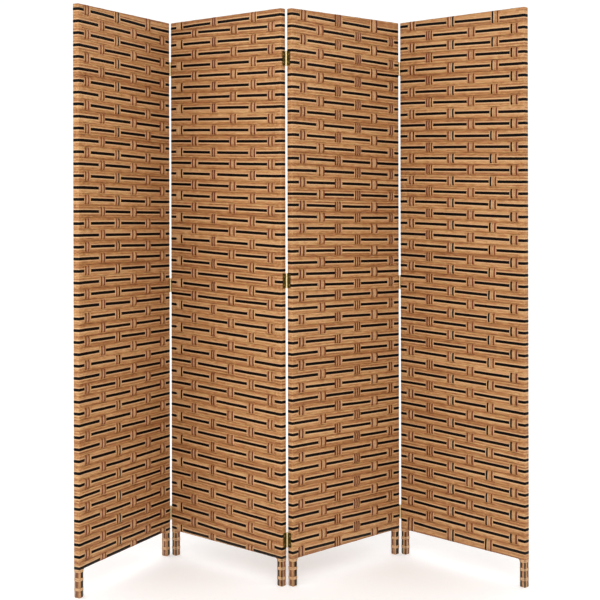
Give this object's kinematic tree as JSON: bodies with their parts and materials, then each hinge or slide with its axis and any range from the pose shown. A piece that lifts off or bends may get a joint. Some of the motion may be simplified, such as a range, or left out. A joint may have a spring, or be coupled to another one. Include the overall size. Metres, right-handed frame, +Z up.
{
  "type": "folding room divider screen",
  "caption": "Free-standing zigzag screen of tall woven cord panels on wooden frames, folding on brass butt hinges.",
  "frame": {"origin": "middle of the bounding box on the floor, with the screen in its zigzag stance", "axes": "+X along the screen from panel 1 to panel 4, -Y out of the front face, +Z up"},
  "size_m": [1.3986, 0.4726, 1.803],
  "materials": {
    "frame_wood": "planed, unvarnished",
    "weft_paper_cord": "twisted paper cord, matt, tan with black strands",
    "warp_paper_cord": "twisted paper cord, matt, tan with brown strands",
    "binding_paper_cord": "twisted paper cord, matt",
    "hinge_brass": "brass plated, lightly aged",
    "screw_brass": "brass plated, satin"
  },
  "bodies": {
    "panel_1": {"panel_1_left_post": "frame_wood", "panel_1_right_post": "frame_wood", "panel_1_top_rail": "frame_wood", "panel_1_centre_rail": "frame_wood", "panel_1_bottom_rail": "frame_wood", "panel_1_weft_cords": "weft_paper_cord", "panel_1_warp_cords": "warp_paper_cord", "panel_1_leg_bindings": "binding_paper_cord", "panel_1_hinge_screws": "screw_brass", "hinge_1_top_left_leaf": "hinge_brass", "hinge_1_centre_left_leaf": "hinge_brass", "hinge_1_bottom_left_leaf": "hinge_brass", "hinge_1_pins": "hinge_brass"},
    "panel_2": {"panel_2_left_post": "frame_wood", "panel_2_right_post": "frame_wood", "panel_2_top_rail": "frame_wood", "panel_2_centre_rail": "frame_wood", "panel_2_bottom_rail": "frame_wood", "panel_2_weft_cords": "weft_paper_cord", "panel_2_warp_cords": "warp_paper_cord", "panel_2_leg_bindings": "binding_paper_cord", "panel_2_hinge_screws": "screw_brass", "hinge_2_top_left_leaf": "hinge_brass", "hinge_2_centre_left_leaf": "hinge_brass", "hinge_2_bottom_left_leaf": "hinge_brass", "hinge_2_pins": "hinge_brass", "hinge_1_top_right_leaf": "hinge_brass", "hinge_1_centre_right_leaf": "hinge_brass", "hinge_1_bottom_right_leaf": "hinge_brass"},
    "panel_3": {"panel_3_left_post": "frame_wood", "panel_3_right_post": "frame_wood", "panel_3_top_rail": "frame_wood", "panel_3_centre_rail": "frame_wood", "panel_3_bottom_rail": "frame_wood", "panel_3_weft_cords": "weft_paper_cord", "panel_3_warp_cords": "warp_paper_cord", "panel_3_leg_bindings": "binding_paper_cord", "panel_3_hinge_screws": "screw_brass", "hinge_3_top_left_leaf": "hinge_brass", "hinge_3_centre_left_leaf": "hinge_brass", "hinge_3_bottom_left_leaf": "hinge_brass", "hinge_3_pins": "hinge_brass", "hinge_2_top_right_leaf": "hinge_brass", "hinge_2_centre_right_leaf": "hinge_brass", "hinge_2_bottom_right_leaf": "hinge_brass"},
    "panel_4": {"panel_4_left_post": "frame_wood", "panel_4_right_post": "frame_wood", "panel_4_top_rail": "frame_wood", "panel_4_centre_rail": "frame_wood", "panel_4_bottom_rail": "frame_wood", "panel_4_weft_cords": "weft_paper_cord", "panel_4_warp_cords": "warp_paper_cord", "panel_4_leg_bindings": "binding_paper_cord", "panel_4_hinge_screws": "screw_brass", "hinge_3_top_right_leaf": "hinge_brass", "hinge_3_centre_right_leaf": "hinge_brass", "hinge_3_bottom_right_leaf": "hinge_brass"}
  },
  "joints": [
    {"name": "fold_1", "type": "hinge", "parent": "panel_2", "child": "panel_1", "pos_m": [-0.44465, 0.21409, 0.9], "axis": [0, 0, 1], "range_deg": [-105.1, 74.9]},
    {"name": "fold_2", "type": "hinge", "parent": "panel_2", "child": "panel_3", "pos_m": [-0.05225, -0.11441, 0.9], "axis": [0, 0, 1], "range_deg": [-86.4, 93.6]},
    {"name": "fold_3", "type": "hinge", "parent": "panel_3", "child": "panel_4", "pos_m": [0.33319, 0.22224, 0.9], "axis": [0, 0, -1], "range_deg": [-90.3, 89.7]}
  ]
}
